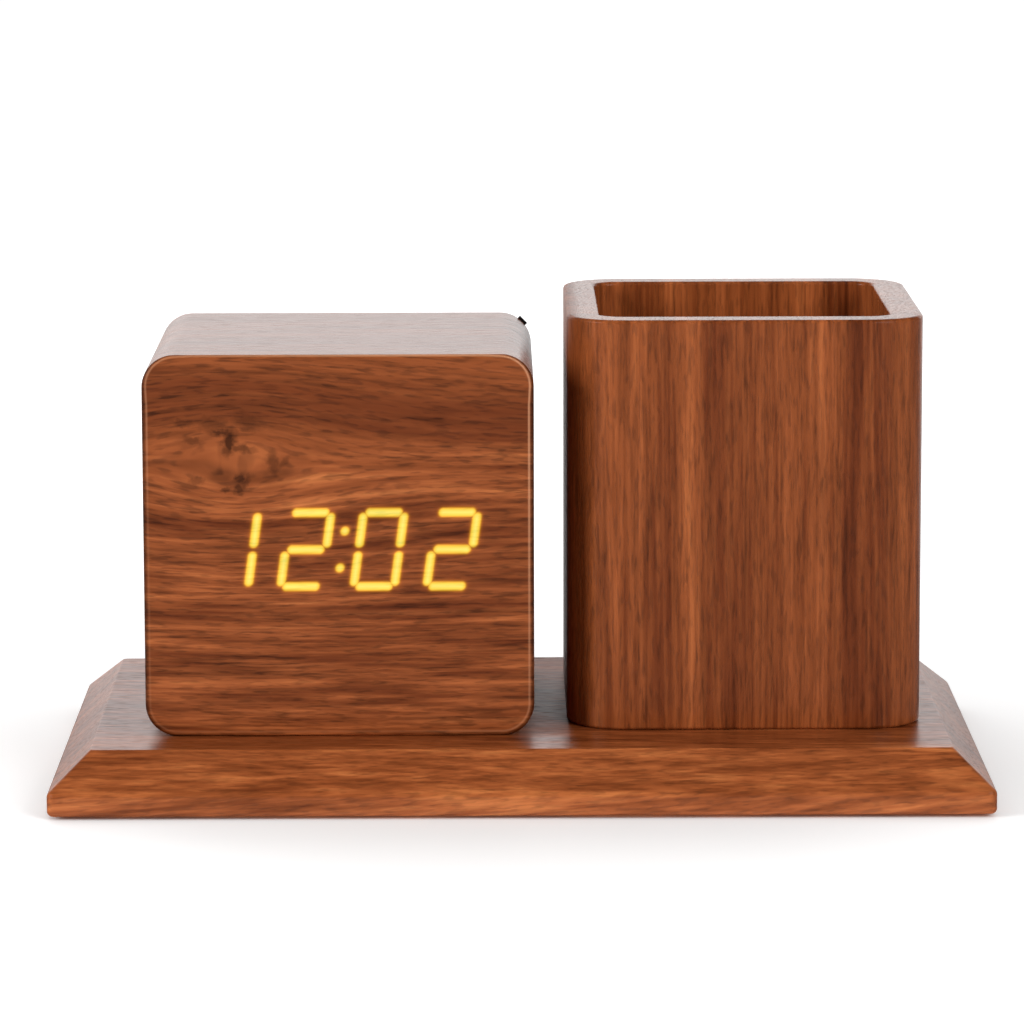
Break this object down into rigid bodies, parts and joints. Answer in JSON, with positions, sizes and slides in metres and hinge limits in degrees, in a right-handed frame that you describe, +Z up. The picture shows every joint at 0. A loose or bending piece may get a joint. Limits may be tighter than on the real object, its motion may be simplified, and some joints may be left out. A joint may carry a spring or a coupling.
{
  "type": "desk clock with pen cup",
  "caption": "Wooden desk set: a bevelled walnut plinth with a square LED block clock on the left and a square open pen cup on the right.",
  "frame": {"origin": "on the desk, under the middle of the plinth", "axes": "+X to the right along the plinth's length, +Y to the back, +Z up"},
  "size_m": [0.2284, 0.137, 0.1167],
  "materials": {
    "walnut": "red-brown walnut, open pores, semi-gloss lacquer",
    "fibreboard": "raw brown fibreboard",
    "foam_pad": "black closed-cell foam",
    "wood_screw": "yellow zinc plated steel",
    "black_screw": "black oxide steel",
    "black_plastic": "fine spark-eroded black ABS",
    "white_plastic": "white polycarbonate",
    "clear_resin": "amber tinted clear resin",
    "led": "lit amber light chip",
    "film": "milky diffuser film",
    "circuit_board": "green solder mask over glass epoxy",
    "component_black": "black moulded epoxy",
    "plunger_plastic": "natural nylon",
    "nickel": "nickel plated sheet steel",
    "ribbon": "grey flat cable",
    "cell_wrap": "printed film wrap, plain blue"
  },
  "bodies": {
    "desk_set": {"plinth": "walnut", "cup_walls": "walnut", "cup_floor": "walnut", "wrap_veneer": "walnut", "front_veneer": "walnut", "clock_case": "fibreboard", "foot_pads": "foam_pad", "clock_screws": "wood_screw", "cup_screws": "wood_screw", "rear_cover_screws": "black_screw", "board_screws": "black_screw", "control_board_screws": "black_screw", "rear_cover": "black_plastic", "display_reflector": "white_plastic", "board_spacers": "white_plastic", "segment_lenses": "clear_resin", "segment_leds": "led", "diffuser_film": "film", "display_board": "circuit_board", "control_board": "circuit_board", "clock_chip": "component_black", "buzzer": "component_black", "temperature_sensor": "component_black", "tact_switches": "component_black", "slide_switch": "component_black", "ribbon_plugs": "plunger_plastic", "quartz_crystal": "nickel", "microphone": "nickel", "usb_socket": "nickel", "battery_springs": "nickel", "battery_plates": "nickel", "ribbon_cable": "ribbon", "batteries": "cell_wrap"},
    "set_button": {"set_button": "black_plastic", "set_plunger": "plunger_plastic"},
    "up_button": {"up_button": "black_plastic", "up_plunger": "plunger_plastic"},
    "down_button": {"down_button": "black_plastic", "down_plunger": "plunger_plastic"},
    "switch_knob": {"switch_knob": "black_plastic"},
    "battery_door": {"battery_door": "black_plastic"}
  },
  "joints": [
    {"name": "set_press", "type": "slide", "parent": "desk_set", "child": "set_button", "axis": [0, -1, 0], "range_m": [0, 0.0005], "stiffness_N_per_m": 1500, "springref_m": -0.0003},
    {"name": "up_press", "type": "slide", "parent": "desk_set", "child": "up_button", "axis": [0, -1, 0], "range_m": [0, 0.0005], "stiffness_N_per_m": 1500, "springref_m": -0.0003},
    {"name": "down_press", "type": "slide", "parent": "desk_set", "child": "down_button", "axis": [0, -1, 0], "range_m": [0, 0.0005], "stiffness_N_per_m": 1500, "springref_m": -0.0003},
    {"name": "switch_slide", "type": "slide", "parent": "desk_set", "child": "switch_knob", "axis": [1, 0, 0], "range_m": [0, 0.002]},
    {"name": "battery_door_hinge", "type": "hinge", "parent": "desk_set", "child": "battery_door", "pos_m": [-0.0443, 0.03825, 0.02745], "axis": [-1, 0, 0], "range_deg": [0, 90]}
  ]
}
